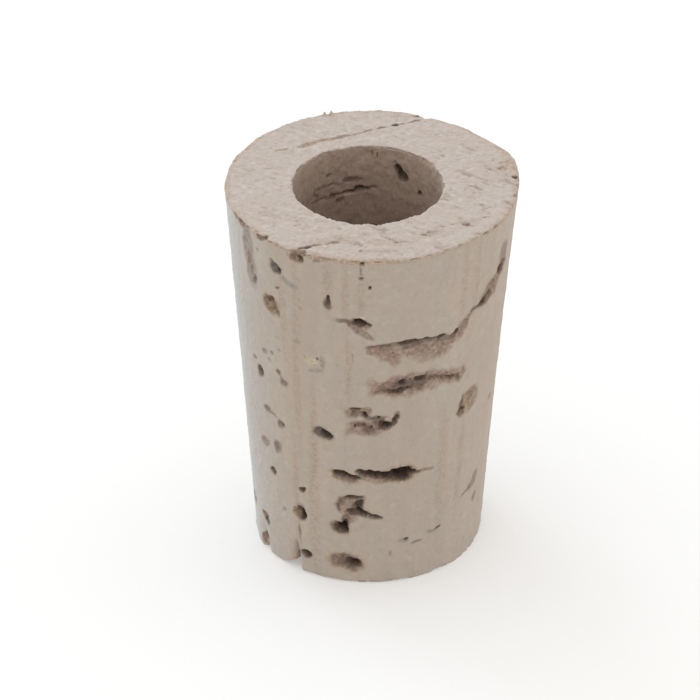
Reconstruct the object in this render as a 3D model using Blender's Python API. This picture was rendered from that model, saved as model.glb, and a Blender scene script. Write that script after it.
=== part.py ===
"""Cork sleeve for a dip pen: one tapered plug of natural cork, bored through from end to end.

The cork stands on its narrow end. +Z runs up the bore's axis and the origin is the centre of the
narrow end. Azimuths are measured from the front (-Y), positive towards +X. The lenticels, the pores
that run through cork bark, all lie along one horizontal line, GRAIN. They show as long streaks where
the surface runs along the grain, and as round pits where the grain meets the surface head on.
"""

import math
import random

import bmesh
import bpy
from mathutils import Matrix, Vector

MM = 0.001

# Driving dimensions.
TOP_RADIUS = 9.5 * MM
BOTTOM_RADIUS = 7.5 * MM
HEIGHT = 26.2 * MM
BORE_RADIUS = 4.88 * MM
BORE_CENTRE = Vector((-0.22 * MM, 0.0, 0.0))  # the bore is drilled a little off centre

RIM_ROUND = 0.25 * MM
RIM_SEGMENTS = 2
BODY_SEGMENTS = 96
BORE_SEGMENTS = 64
BORE_OVERRUN = 2.0 * MM

GRAIN_ANGLE = math.radians(25.0)  # from +X towards +Y
GRAIN = Vector((math.cos(GRAIN_ANGLE), math.sin(GRAIN_ANGLE), 0.0))

CUTTER_RINGS = 6
CUTTER_SEGMENTS = 10

# Lenticels that open on the outer wall: azimuth in degrees, height of the centre, then the half
# length along the grain, the half width across it, the half height, and the tilt in degrees.
WALL_LENTICELS = [
    ("upper_slit", -6, 20.9, 1.20, 0.70, 0.26, -4),
    ("long_streak_left", 6, 18.7, 1.25, 0.70, 0.70, -12),
    ("long_streak_middle", 20, 18.6, 1.70, 0.70, 0.62, 2),
    ("long_streak_right", 36, 18.7, 1.30, 0.65, 0.40, 10),
    ("rising_streak_low", 54, 20.7, 0.90, 0.55, 0.42, 35),
    ("rising_streak_high", 65, 21.9, 0.75, 0.50, 0.36, 40),
    ("broad_streak_left", 4, 15.8, 1.10, 0.60, 0.36, 0),
    ("broad_streak_middle", 17, 15.9, 1.35, 0.80, 0.62, 0),
    ("broad_streak_right", 35, 16.0, 1.70, 0.60, 0.34, 2),
    ("right_pit", 50, 12.8, 0.95, 0.60, 0.62, 45),
    ("middle_cavity", -4, 13.0, 1.45, 0.95, 0.80, 0),
    ("middle_cavity_end", 9, 13.0, 0.75, 0.70, 0.55, 10),
    ("dark_oval", -21, 12.0, 0.80, 0.60, 0.36, -14),
    ("lower_slit_left", -12, 8.6, 0.90, 0.60, 0.32, -14),
    ("lower_slit", 6, 8.8, 1.85, 0.75, 0.36, 2),
    ("lower_slit_right", 18, 8.9, 0.85, 0.80, 0.52, 4),
    ("low_cavity", -8, 6.2, 1.15, 0.80, 0.66, -20),
    ("low_cavity_tail", 0, 5.5, 0.90, 0.60, 0.26, -8),
    ("low_cavity_foot", -13, 4.4, 0.60, 0.60, 0.46, 10),
    ("foot_oval", -12, 1.7, 1.20, 0.80, 0.58, -8),
    ("small_wedge", -17, 22.4, 0.55, 0.32, 0.50, 0),
    ("slate_pit", -40, 24.3, 0.75, 0.34, 0.62, -20),
    ("upper_left_pit", -44, 20.8, 0.80, 0.55, 0.72, -20),
    ("left_pore_a", -55, 14.8, 0.60, 0.30, 0.36, 0),
    ("left_pore_b", -40, 15.2, 0.50, 0.26, 0.32, 0),
    ("left_pore_c", -43, 11.5, 0.60, 0.38, 0.40, 0),
    ("left_pore_d", -46, 9.4, 0.55, 0.34, 0.34, 0),
    ("left_pore_e", -50, 7.2, 0.55, 0.22, 0.42, 0),
    ("left_pore_f", -34, 4.8, 0.70, 0.36, 0.58, 0),
    ("left_pore_g", -32, 1.6, 0.55, 0.32, 0.36, 0),
    ("left_pore_h", -59, 2.6, 0.55, 0.26, 0.38, 0),
    ("far_scar", 57, 5.3, 1.05, 0.40, 0.24, 35),
]

# Lenticels that open on the bore's wall, with the same columns.
BORE_LENTICELS = [
    ("bore_pit", 154, 24.6, 0.45, 0.45, 0.50, 20),
    ("bore_slit_upper", -166, 24.1, 1.20, 0.40, 0.22, 0),
    ("bore_slit_lower", -170, 22.9, 1.40, 0.45, 0.26, 6),
    ("bore_pit_small", 135, 23.2, 0.40, 0.30, 0.28, 0),
    ("bore_slit_front", 12, 17.0, 1.10, 0.40, 0.24, 0),
    ("bore_pit_deep", -70, 11.0, 0.60, 0.34, 0.40, 0),
    ("bore_slit_back", 200, 8.0, 1.30, 0.42, 0.30, 0),
    ("bore_pit_low", 110, 4.5, 0.55, 0.34, 0.40, 0),
]

# Chips broken out of the two rims: azimuth, height, half width, half depth, half height.
RIM_CHIPS = [
    ("top_chip_front", -28, 26.2, 0.80, 0.45, 0.55),
    ("top_chip_left", -46, 26.2, 0.42, 0.35, 0.30),
    ("foot_chip_left", -61, 0.0, 0.42, 0.55, 0.55),
    ("foot_chip_front", -40, 0.0, 0.30, 0.50, 0.50),
    ("foot_chip_back", 160, 0.0, 0.50, 0.45, 0.40),
]

# The lenticel that the top face cuts along its length: its two ends and its half width and depth.
TOP_GROOVE_START = Vector((-5.6 * MM, 4.5 * MM, HEIGHT))
TOP_GROOVE_END = Vector((3.4 * MM, 8.5 * MM, HEIGHT))
TOP_GROOVE_HALF_WIDTH = 0.14 * MM
TOP_GROOVE_HALF_DEPTH = 0.30 * MM

# The side that faces away gets lenticels of the same kinds at places set by a seed.
BACK_COUNT = 16
BACK_AZIMUTHS = (85.0, 285.0)
BACK_SEED = 7
BACK_EDGE = 1.6 * MM
BACK_HALF_LENGTH = (0.5 * MM, 1.7 * MM)
BACK_HALF_HEIGHT = (0.22 * MM, 0.60 * MM)

CORK_COLOUR = (0.48, 0.41, 0.35, 1.0)


def clear_scene():
    for item in list(bpy.data.objects):
        bpy.data.objects.remove(item)


def outer_radius(height):
    """Radius of the tapered wall at this height."""
    return BOTTOM_RADIUS + (TOP_RADIUS - BOTTOM_RADIUS) * height / HEIGHT


def wall_point(azimuth, height, radius, centre=Vector((0.0, 0.0, 0.0))):
    """The point at this azimuth, in degrees, and height, this far from an upright axis."""
    angle = math.radians(azimuth)
    return centre + Vector((radius * math.sin(angle), -radius * math.cos(angle), height))


def link(name, mesh, collection):
    item = bpy.data.objects.new(name, mesh)
    collection.objects.link(item)
    return item


def as_cutter(item):
    item.hide_render = True
    item.display_type = "WIRE"
    return item


def cork_material():
    material = bpy.data.materials.new("natural_cork")
    material.use_nodes = True
    shader = material.node_tree.nodes["Principled BSDF"]
    shader.inputs["Base Color"].default_value = CORK_COLOUR
    shader.inputs["Roughness"].default_value = 0.88
    shader.inputs["Metallic"].default_value = 0.0
    return material


def add_body(collection):
    """The tapered plug before it is bored, standing on its narrow end."""
    builder = bmesh.new()
    bmesh.ops.create_cone(
        builder,
        cap_ends=True,
        segments=BODY_SEGMENTS,
        radius1=BOTTOM_RADIUS,
        radius2=TOP_RADIUS,
        depth=HEIGHT,
        matrix=Matrix.Translation((0.0, 0.0, HEIGHT / 2)),
    )
    rims = [edge for edge in builder.edges if abs(edge.verts[0].co.z - edge.verts[1].co.z) < HEIGHT / 2]
    bmesh.ops.bevel(
        builder,
        geom=rims,
        offset=RIM_ROUND,
        segments=RIM_SEGMENTS,
        profile=0.5,
        affect="EDGES",
    )
    mesh = bpy.data.meshes.new("cork_sleeve")
    builder.to_mesh(mesh)
    builder.free()
    return link("cork_sleeve", mesh, collection)


def add_bore_cutter(collection):
    builder = bmesh.new()
    bmesh.ops.create_cone(
        builder,
        cap_ends=True,
        segments=BORE_SEGMENTS,
        radius1=BORE_RADIUS,
        radius2=BORE_RADIUS,
        depth=HEIGHT + 2 * BORE_OVERRUN,
        matrix=Matrix.Translation(BORE_CENTRE + Vector((0.0, 0.0, HEIGHT / 2))),
    )
    mesh = bpy.data.meshes.new("bore_cutter")
    builder.to_mesh(mesh)
    builder.free()
    return as_cutter(link("bore_cutter", mesh, collection))


def add_hollow(name, centre, half_sizes, turn, tilt, collection):
    """An egg-shaped cutter with its long side turned about Z, then tilted up out of the level."""
    builder = bmesh.new()
    placed = (
        Matrix.Translation(centre)
        @ Matrix.Rotation(turn, 4, "Z")
        @ Matrix.Rotation(-tilt, 4, "Y")
        @ Matrix.Diagonal((*half_sizes, 1.0))
    )
    bmesh.ops.create_uvsphere(
        builder,
        u_segments=CUTTER_SEGMENTS,
        v_segments=CUTTER_RINGS,
        radius=1.0,
        matrix=placed @ Matrix.Rotation(math.pi / 2, 4, "Y"),
    )
    mesh = bpy.data.meshes.new(name)
    builder.to_mesh(mesh)
    builder.free()
    return as_cutter(link(name, mesh, collection))


def add_lenticels(collection):
    for name, azimuth, height, length, width, thickness, tilt in WALL_LENTICELS:
        centre = wall_point(azimuth, height * MM, outer_radius(height * MM))
        sizes = (length * MM, width * MM, thickness * MM)
        add_hollow(name, centre, sizes, GRAIN_ANGLE, math.radians(tilt), collection)
    for name, azimuth, height, length, width, thickness, tilt in BORE_LENTICELS:
        centre = wall_point(azimuth, height * MM, BORE_RADIUS, BORE_CENTRE)
        sizes = (length * MM, width * MM, thickness * MM)
        add_hollow(name, centre, sizes, GRAIN_ANGLE, math.radians(tilt), collection)


def add_back_lenticels(collection):
    chance = random.Random(BACK_SEED)
    for number in range(BACK_COUNT):
        azimuth = chance.uniform(*BACK_AZIMUTHS)
        height = chance.uniform(BACK_EDGE, HEIGHT - BACK_EDGE)
        thickness = chance.uniform(*BACK_HALF_HEIGHT)
        sizes = (chance.uniform(*BACK_HALF_LENGTH), 1.2 * thickness, thickness)
        centre = wall_point(azimuth, height, outer_radius(height))
        add_hollow(f"back_lenticel_{number}", centre, sizes, GRAIN_ANGLE, 0.0, collection)


def add_rim_chips(collection):
    for name, azimuth, height, width, depth, thickness in RIM_CHIPS:
        centre = wall_point(azimuth, height * MM, outer_radius(height * MM))
        sizes = (width * MM, depth * MM, thickness * MM)
        add_hollow(name, centre, sizes, math.radians(azimuth), 0.0, collection)


def add_top_groove(collection):
    along = TOP_GROOVE_END - TOP_GROOVE_START
    sizes = (along.length / 2, TOP_GROOVE_HALF_WIDTH, TOP_GROOVE_HALF_DEPTH)
    centre = (TOP_GROOVE_START + TOP_GROOVE_END) / 2
    turn = math.atan2(along.y, along.x)
    add_hollow("top_groove", centre, sizes, turn, 0.0, collection)


def cut(body, name, **operand):
    modifier = body.modifiers.new(name, "BOOLEAN")
    modifier.operation = "DIFFERENCE"
    modifier.solver = "EXACT"
    for setting, value in operand.items():
        setattr(modifier, setting, value)


def main():
    clear_scene()
    scene_collection = bpy.context.scene.collection
    hollows = bpy.data.collections.new("hollows")
    scene_collection.children.link(hollows)

    body = add_body(scene_collection)
    body.data.materials.append(cork_material())
    bore = add_bore_cutter(scene_collection)
    add_lenticels(hollows)
    add_back_lenticels(hollows)
    add_rim_chips(hollows)
    add_top_groove(hollows)

    cut(body, "bore", object=bore)
    cut(body, "lenticels", operand_type="COLLECTION", collection=hollows)
    body.data.shade_smooth()
    body.data.set_sharp_from_angle(angle=math.radians(30.0))


main()
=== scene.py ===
"""Looks of the bored cork sleeve for a dip pen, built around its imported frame.

Lengths are in millimetres until the mesh is made, and azimuths are in degrees from the front (-Y),
positive towards +X. The cork is one closed grid of points: columns go round it, and rows go up the
wall, over the top face, down the bore and back across the narrow end. Pores, cracks, chips and the
cut texture push that grid into the cork. The same shapes leave a stain, which the material reads.

The pores of cork, its lenticels, all lie along one level line, the grain. Where the wall runs along
the grain they show as long streaks, and where it crosses the grain they show as round pits.
"""

import math
import random
from typing import NamedTuple

import bpy
import numpy as np
from mathutils import Matrix, Vector


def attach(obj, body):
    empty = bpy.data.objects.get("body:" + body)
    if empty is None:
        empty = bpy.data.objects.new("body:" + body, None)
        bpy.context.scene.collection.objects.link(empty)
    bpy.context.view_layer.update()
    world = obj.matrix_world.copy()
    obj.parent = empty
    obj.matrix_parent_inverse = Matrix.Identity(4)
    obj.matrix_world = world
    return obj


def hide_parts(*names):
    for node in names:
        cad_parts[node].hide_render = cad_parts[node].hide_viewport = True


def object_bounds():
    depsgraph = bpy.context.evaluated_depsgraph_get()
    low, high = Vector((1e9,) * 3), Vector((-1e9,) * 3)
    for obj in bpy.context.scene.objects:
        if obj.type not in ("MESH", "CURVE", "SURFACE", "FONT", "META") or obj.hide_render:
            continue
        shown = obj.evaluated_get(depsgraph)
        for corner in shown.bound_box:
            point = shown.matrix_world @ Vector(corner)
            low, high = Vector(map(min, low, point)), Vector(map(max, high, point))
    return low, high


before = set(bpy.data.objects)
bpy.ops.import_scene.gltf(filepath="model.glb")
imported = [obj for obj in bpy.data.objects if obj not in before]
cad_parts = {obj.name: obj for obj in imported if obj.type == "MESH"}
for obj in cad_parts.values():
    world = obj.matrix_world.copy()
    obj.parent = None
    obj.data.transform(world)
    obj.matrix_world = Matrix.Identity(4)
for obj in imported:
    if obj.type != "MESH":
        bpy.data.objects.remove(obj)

CAD_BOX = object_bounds()
CAD_NODE = "cork_sleeve"
MM = 0.001

# The grid. The wall and the top face are finest, because that is where the pores are.
COLUMNS = 820
WALL_ROWS = 370
RIM_ROWS = 4
FACE_ROWS = 60
LIP_ROWS = 3
BORE_ROWS = 96
BORE_ROW_GROWTH = 3.5  # the rows of the bore are closer together near its mouth
BORE_EVEN_SHARE = 0.35
FOOT_FACE_ROWS = 26

# Radii of the rounded edges.
RIM_ROUND = 0.14
LIP_ROUND = 0.10
FOOT_ROUND = 0.10

GRAIN_ANGLE = 25.0  # from +X towards +Y

# The left side is painted a cooler, paler grey, which fades out towards the front and the back: painted
# cool rim light.
RIM_LIGHT_PAINT_AZIMUTH = -100.0
RIM_LIGHT_PAINT_REACH = 64.0
RIM_LIGHT_PAINT_FADE = 48.0
RIM_LIGHT_PAINT_SHARE = 0.58


class Kind(NamedTuple):
    """One sort of blemish: how deep it is, how steep its sides are, and how it is stained."""

    depth: float  # at its deepest
    bank: float  # width of its sides, as a share of its half height
    colour: tuple  # stain, linear RGB
    cover: float  # how much of the stain hides the cork
    crumb: float  # height of the crumbs on its floor
    ragged: float  # how far its outline wanders
    soft: float = 0.55  # how gently its stain fades at the outline


KINDS = {
    "hollow": Kind(0.90, 0.50, (0.040, 0.026, 0.020), 0.98, 0.03, 0.18, 0.36),
    "pit": Kind(0.36, 0.75, (0.084, 0.057, 0.043), 0.94, 0.05, 0.16, 0.45),
    "soft_pit": Kind(0.15, 1.00, (0.175, 0.124, 0.096), 0.84, 0.06, 0.18, 0.80),
    "umber": Kind(0.20, 0.90, (0.200, 0.132, 0.098), 0.94, 0.05, 0.14, 0.45),
    "grey_pit": Kind(0.34, 0.85, (0.088, 0.076, 0.064), 0.94, 0.03, 0.10, 0.45),
    "slate": Kind(0.30, 0.80, (0.104, 0.104, 0.096), 0.96, 0.03, 0.09, 0.40),
    "powder": Kind(0.08, 0.75, (0.298, 0.205, 0.158), 0.94, 0.09, 0.24),
    "tan_powder": Kind(0.07, 0.75, (0.305, 0.215, 0.158), 0.90, 0.09, 0.24),
    "rosy": Kind(0.07, 0.90, (0.350, 0.232, 0.182), 0.90, 0.07, 0.26, 0.80),
    "ochre": Kind(0.14, 0.60, (0.290, 0.206, 0.130), 0.90, 0.08, 0.16, 0.40),
    "crack": Kind(0.10, 1.00, (0.215, 0.148, 0.108), 0.90, 0.03, 0.08, 0.70),
    "hairline": Kind(0.05, 1.00, (0.310, 0.222, 0.160), 0.85, 0.02, 0.08, 0.70),
    "scar": Kind(0.06, 1.00, (0.245, 0.178, 0.132), 0.82, 0.03, 0.10),
    "fleck": Kind(0.03, 1.00, (0.255, 0.230, 0.205), 0.66, 0.02, 0.09),
    "tint": Kind(0.00, 1.00, (0.340, 0.245, 0.185), 0.50, 0.00, 0.12),
    "pale": Kind(-0.03, 1.00, (0.540, 0.460, 0.370), 0.75, 0.00, 0.05),
    "splinter": Kind(-0.34, 0.90, (0.420, 0.330, 0.250), 0.60, 0.02, 0.05),
    "yellow": Kind(0.02, 1.00, (0.480, 0.405, 0.275), 0.78, 0.03, 0.16),
    "bore_dark": Kind(0.50, 0.80, (0.044, 0.027, 0.020), 0.94, 0.04, 0.12),
    "bore_line": Kind(0.10, 1.00, (0.090, 0.060, 0.042), 0.70, 0.03, 0.14),
    "groove": Kind(0.10, 1.00, (0.265, 0.212, 0.176), 0.86, 0.04, 0.12),
    "vein": Kind(0.02, 1.00, (0.375, 0.275, 0.205), 0.40, 0.00, 0.07, 1.20),
}


class Pore(NamedTuple):
    """A blemish with the outline of a lens, on the wall, the bore's wall or the top face.

    On a wall, x is the azimuth in degrees and y the height. On the top face they are X and Y. The
    half sizes are in millimetres, and a tilted pore rises towards larger x."""

    kind: str
    x: float
    y: float
    half_length: float
    half_height: float
    tilt: float = 0.0  # degrees
    bow: float = 0.0  # how far its middle is arched up


def pores(*rows):
    return [Pore(*row) for row in rows]


# Pores of the wall, from the rim down. A streak is several pores that overlap.
UPPER_SLIT = pores(
    ("powder", -5.5, 20.95, 0.90, 0.34, -18),
    ("scar", -2.2, 20.35, 0.80, 0.26, -28),
    ("soft_pit", -9.5, 21.25, 0.75, 0.18, -2),
    ("pit", -4, 21.3, 0.66, 0.30, -8),
    ("hollow", -4.4, 21.4, 0.42, 0.24, -8),
    ("hollow", -0.9, 21.05, 0.28, 0.15, -10),
    # painted highlight along the upper lip of the slit
    ("pale", -3, 21.75, 0.20, 0.10, -30),
)
LONG_STREAK = pores(
    ("powder", 2, 19.2, 0.70, 0.44, -8),
    ("powder", 7, 18.85, 0.95, 0.66, -12),
    ("powder", 11, 18.4, 0.36, 0.52),
    ("tan_powder", 18, 18.75, 0.85, 0.66, -4),
    ("tan_powder", 26, 18.4, 1.20, 0.80),
    ("tan_powder", 33, 18.5, 0.80, 0.62),
    ("powder", 39.5, 19.05, 0.80, 0.50, 22),
    ("powder", 42.5, 19.45, 0.70, 0.44, 40),
    ("scar", 44.5, 19.75, 0.60, 0.28, 60),
    ("soft_pit", 3.5, 19.4, 0.95, 0.20),
    ("soft_pit", 10, 19.5, 0.75, 0.24),
    ("soft_pit", 17, 19.2, 0.80, 0.32),
    ("soft_pit", 24, 19.35, 1.30, 0.26, -4),
    ("soft_pit", 32, 19.1, 0.80, 0.26, 4),
    ("soft_pit", 37.5, 19.1, 0.60, 0.26, 14),
    ("pit", 15.8, 19.62, 0.75, 0.21, -2),
    ("pit", 23.5, 19.5, 1.00, 0.13, -4),
    ("pit", 30.8, 19.35, 0.28, 0.20),
    ("pit", 38.8, 19.3, 0.34, 0.26, 30),
    ("scar", 47, 20.2, 0.35, 0.14, 60),
    ("tint", 13, 18.6, 0.11, 0.75),
)
RISING_STREAK = pores(
    ("scar", 68.5, 23.2, 0.70, 0.95),
    ("powder", 67, 22.3, 0.85, 0.66),
    ("soft_pit", 70.5, 22.3, 0.45, 0.32),
    ("pit", 66.5, 22.1, 0.52, 0.42),
    ("powder", 62.5, 21.75, 0.60, 0.36, 40),
    ("tan_powder", 61, 21.2, 0.85, 0.56, 38),
    ("powder", 57.5, 21.1, 1.15, 0.78, 38),
    ("soft_pit", 57, 20.8, 0.60, 0.38, 30),
    ("pit", 54.5, 20.72, 0.70, 0.32, 25),
    ("soft_pit", 49.5, 20.5, 0.50, 0.20, 20),
)
BROAD_STREAK = pores(
    ("rosy", 3, 16.1, 0.85, 0.66),
    ("rosy", 7, 16.05, 0.80, 0.62),
    ("powder", 9, 16.1, 1.00, 0.78),
    ("powder", 18, 16.15, 1.35, 0.92),
    ("powder", 28, 16.1, 1.25, 0.82),
    ("powder", 38, 15.95, 1.05, 0.66),
    ("tan_powder", 43.2, 15.6, 0.50, 0.48),
    ("soft_pit", 14, 16.1, 0.90, 0.48),
    ("soft_pit", 21, 16.1, 0.90, 0.46),
    ("soft_pit", 28, 16.2, 0.60, 0.22, -4),
    ("soft_pit", 13.5, 16.4, 0.46, 0.28, 15),
    ("pit", 14.5, 16.3, 0.26, 0.20, 15),
    ("pit", 13.5, 15.8, 0.85, 0.18, 3),
    ("pit", 22.5, 16.5, 0.50, 0.20, -6),
    ("umber", 6.5, 15.78, 0.80, 0.15, 4),
    ("umber", 33, 16.0, 1.15, 0.16, -10),
    ("umber", 38.5, 15.85, 0.50, 0.20),
    ("soft_pit", 43.0, 15.55, 0.16, 0.44),
)
RIGHT_PIT = pores(
    ("ochre", 50.5, 13.0, 1.25, 0.86, 38),
    ("powder", 52.5, 13.3, 0.75, 0.36, 55),
    ("soft_pit", 46.3, 13.1, 0.18, 0.60, 10),
    ("soft_pit", 46, 12.4, 0.42, 0.40),
    ("pit", 47, 12.6, 0.24, 0.20),
)
MIDDLE_CAVITY = pores(
    ("ochre", -4.8, 14.1, 0.90, 0.42),
    ("powder", -4.5, 12.75, 1.00, 0.66),
    ("powder", 1.5, 12.85, 1.00, 0.72),
    ("soft_pit", -7, 13.95, 0.24, 0.42),
    ("soft_pit", -2.2, 13.85, 0.75, 0.20, -10),
    ("soft_pit", 2.5, 13.65, 0.80, 0.15),
    ("pit", -5.8, 14.3, 0.42, 0.13),
    ("pit", -1.8, 13.9, 0.26, 0.15, -20),
    ("soft_pit", -3.5, 12.95, 0.55, 0.24),
    ("soft_pit", 0, 12.7, 0.42, 0.26),
    ("soft_pit", 5, 13.2, 0.56, 0.56),
    ("pit", 6.6, 13.0, 0.38, 0.34),
    ("hollow", 7.4, 12.85, 0.22, 0.20),
    ("ochre", 5.2, 13.5, 0.22, 0.14),
    ("pit", 4.2, 13.55, 0.12, 0.12),
    ("pit", -6.5, 12.8, 0.12, 0.10),
    ("pit", 0.8, 12.9, 0.14, 0.10),
    ("pit", 9.5, 13.15, 0.42, 0.22, 35),
    ("pit", 11, 13.6, 0.42, 0.22, 50),
    ("scar", 12.2, 13.95, 0.26, 0.16, 50),
    ("pale", 8.2, 13.5, 0.18, 0.15),
)
DARK_OVAL = pores(
    ("grey_pit", -21.4, 12.05, 0.64, 0.44, -12),
    ("hollow", -19.4, 11.98, 0.36, 0.26, -12),
)
LOWER_SLIT = pores(
    ("umber", -11.5, 8.65, 0.85, 0.34, -14),
    ("tan_powder", 3.5, 8.65, 1.20, 0.38),
    ("umber", 12.5, 8.7, 0.95, 0.36),
    ("pit", -12.5, 8.9, 0.78, 0.30, -14),
    ("hollow", -15, 9.05, 0.26, 0.18),
    ("hollow", -12, 8.95, 0.66, 0.20, -14),
    ("hollow", -8.5, 8.7, 0.36, 0.22),
    ("pit", -6.0, 8.72, 0.34, 0.12),
    ("hollow", 0, 9.05, 0.95, 0.26, 0, 0.08),
    ("hollow", 5.5, 9.0, 0.85, 0.30, 0, 0.04),
    ("hollow", 11, 8.95, 0.85, 0.36),
    ("pit", 17, 8.95, 0.68, 0.66),
    ("hollow", 16.4, 9.0, 0.56, 0.56),
    ("hollow", 20.4, 9.0, 0.34, 0.20),
    ("pit", 22.5, 8.95, 0.34, 0.13),
    ("scar", 25, 8.95, 0.50, 0.14),
    ("scar", 29, 8.9, 0.36, 0.14),
)
LOW_CAVITY = pores(
    ("tan_powder", -9.5, 6.3, 0.90, 0.86),
    ("tan_powder", -9, 5.3, 0.60, 0.46),
    ("soft_pit", -12.6, 6.7, 0.38, 0.34),
    ("soft_pit", -13.8, 6.1, 0.14, 0.46),
    ("soft_pit", -10, 7.0, 0.50, 0.16),
    ("pit", -7.2, 7.1, 0.60, 0.19, 0, 0.04),
    ("soft_pit", -5.2, 6.4, 0.50, 0.62),
    ("pit", -4.5, 6.5, 0.36, 0.46),
    ("pit", -5.2, 5.85, 0.80, 0.34),
    ("hollow", -4, 5.95, 0.40, 0.24, -6),
    ("hollow", -1.4, 5.75, 0.42, 0.24, -6),
    ("hollow", 2, 5.55, 0.72, 0.19, -8),
    ("soft_pit", -10.6, 5.25, 0.30, 0.46),
    ("soft_pit", -14.2, 4.45, 0.52, 0.42),
    ("pit", -12.8, 4.4, 0.50, 0.50),
    ("pit", -10.4, 4.85, 0.28, 0.34, 50),
    ("hollow", -11.8, 4.5, 0.38, 0.42),
)
FOOT_OVAL = pores(
    ("umber", -11.8, 1.65, 1.18, 0.70, -9),
    ("soft_pit", -8.5, 1.55, 0.85, 0.52, -8),
    ("pit", -6.4, 1.6, 0.55, 0.44),
    ("hollow", -5.4, 1.62, 0.28, 0.24),
)
UPPER_LEFT = pores(
    ("umber", -48.5, 26.0, 0.36, 0.22),
    ("umber", -61, 26.0, 0.55, 0.30),
    ("scar", -66, 26.1, 0.50, 0.20),
    ("umber", -29.8, 25.75, 0.50, 0.36),
    ("pit", -27.6, 25.75, 0.20, 0.26),
    ("fleck", -33.5, 25.8, 0.14, 0.14),
    ("scar", -21, 25.9, 0.28, 0.18),
    ("pit", -3.5, 26.0, 0.17, 0.20),
    ("scar", -3.9, 25.4, 0.06, 0.50),
    ("pit", -4, 24.9, 0.18, 0.10),
    ("pit", -0.4, 24.2, 0.12, 0.12),
    ("groove", -57.6, 24.6, 0.62, 1.70),
    ("groove", -56.0, 22.8, 0.62, 1.40),
    ("scar", -57.2, 23.8, 0.18, 0.60),
    ("scar", -55.8, 22.8, 0.20, 0.40),
    ("soft_pit", -53.8, 22.2, 0.22, 0.36),
    ("scar", -51, 24.8, 0.14, 0.14),
    ("scar", -41.8, 24.75, 0.18, 0.14),
    ("slate", -40.4, 24.25, 0.52, 0.44, -55),
    ("grey_pit", -39.6, 24.1, 0.20, 0.20, -48),
    ("fleck", -35, 23.5, 0.80, 0.24, -30),
    ("soft_pit", -39.8, 22.7, 0.20, 0.17),
    ("umber", -44.5, 21.0, 0.80, 0.66, -35),
    ("ochre", -44.2, 20.95, 0.62, 0.48, -35),
    ("soft_pit", -45.2, 21.3, 0.36, 0.28),
    ("pit", -43.7, 21.5, 0.22, 0.20),
    ("soft_pit", -40.5, 20.6, 0.16, 0.36),
    ("scar", -48, 20.9, 0.12, 0.35),
    ("tint", -29, 21.65, 0.18, 0.16),
    ("ochre", -18.4, 22.6, 0.16, 0.35),
    ("pit", -16.7, 22.65, 0.26, 0.50),
    ("hollow", -16.6, 23.0, 0.13, 0.20),
    ("soft_pit", -16.7, 22.3, 0.34, 0.16),
)
LEFT_SIDE = pores(
    ("tint", -32, 19.0, 0.35, 0.30),
    ("yellow", -26.3, 17.7, 0.50, 0.45),
    ("fleck", -20.3, 17.8, 0.17, 0.60),
    ("fleck", -23.3, 17.05, 0.50, 0.16, 14),
    ("grey_pit", -22.6, 18.1, 0.11, 0.10),
    ("fleck", -7.2, 18.4, 0.07, 0.50),
    ("fleck", -9, 16.7, 0.12, 0.14),
    ("scar", -46.5, 17.0, 0.20, 0.18),
    ("fleck", -41.8, 17.6, 0.16, 0.15),
    ("scar", -51.5, 16.8, 0.26, 0.22),
    ("scar", -59.5, 15.7, 0.26, 0.22),
    ("fleck", -49, 16.3, 0.24, 0.16),
    ("grey_pit", -55.3, 14.9, 0.36, 0.34, -20),
    ("soft_pit", -43.5, 15.8, 0.24, 0.22),
    ("scar", -41.5, 15.45, 0.26, 0.10, -45),
    ("soft_pit", -40.0, 15.1, 0.38, 0.34, -30),
    ("soft_pit", -52.2, 12.2, 0.36, 0.30, -30),
    ("scar", -48.2, 12.0, 0.34, 0.14, -15),
    ("soft_pit", -43.3, 11.6, 0.48, 0.38, -10),
    ("pit", -41.5, 11.6, 0.16, 0.22),
    ("scar", -56, 9.25, 0.52, 0.48, -30),
    ("soft_pit", -46.5, 9.45, 0.46, 0.42, -25),
    ("grey_pit", -51.2, 7.2, 0.34, 0.28, -30),
    ("pit", -32.5, 6.8, 0.24, 0.20),
    ("ochre", -37.2, 4.8, 0.26, 0.45),
    ("pit", -34.2, 4.85, 0.38, 0.66),
    ("ochre", -36.2, 4.55, 0.20, 0.30),
    ("hollow", -33.2, 4.8, 0.24, 0.42),
    ("scar", -35.2, 3.3, 0.10, 0.70),
    ("fleck", -44.8, 4.65, 0.22, 0.20),
    ("umber", -61, 2.8, 0.40, 0.34, -30),
    ("slate", -59, 2.45, 0.34, 0.26, -20),
    ("scar", -76, 2.9, 0.50, 0.55),
    ("umber", -63.5, 0.65, 0.44, 0.50),
    ("hollow", -31.5, 1.5, 0.40, 0.36, -35),
)
RIGHT_SIDE = pores(
    ("scar", 72.5, 11.6, 0.35, 0.28),
    ("scar", 54.5, 5.45, 0.60, 0.17, 14),
    ("scar", 59.5, 5.6, 0.70, 0.34, 12),
    ("scar", 62.5, 6.1, 0.45, 0.36),
    ("scar", 64, 4.3, 0.30, 0.38),
    ("fleck", 17.8, 3.4, 0.42, 0.20, 8),
    ("grey_pit", 19.3, 3.5, 0.16, 0.10),
    ("scar", 24.5, 3.05, 0.42, 0.15),
    ("fleck", 32, 3.5, 0.30, 0.18),
    ("grey_pit", 36, 3.6, 0.34, 0.12, 14),
    ("fleck", 11, 2.4, 0.12, 0.26),
)

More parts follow.
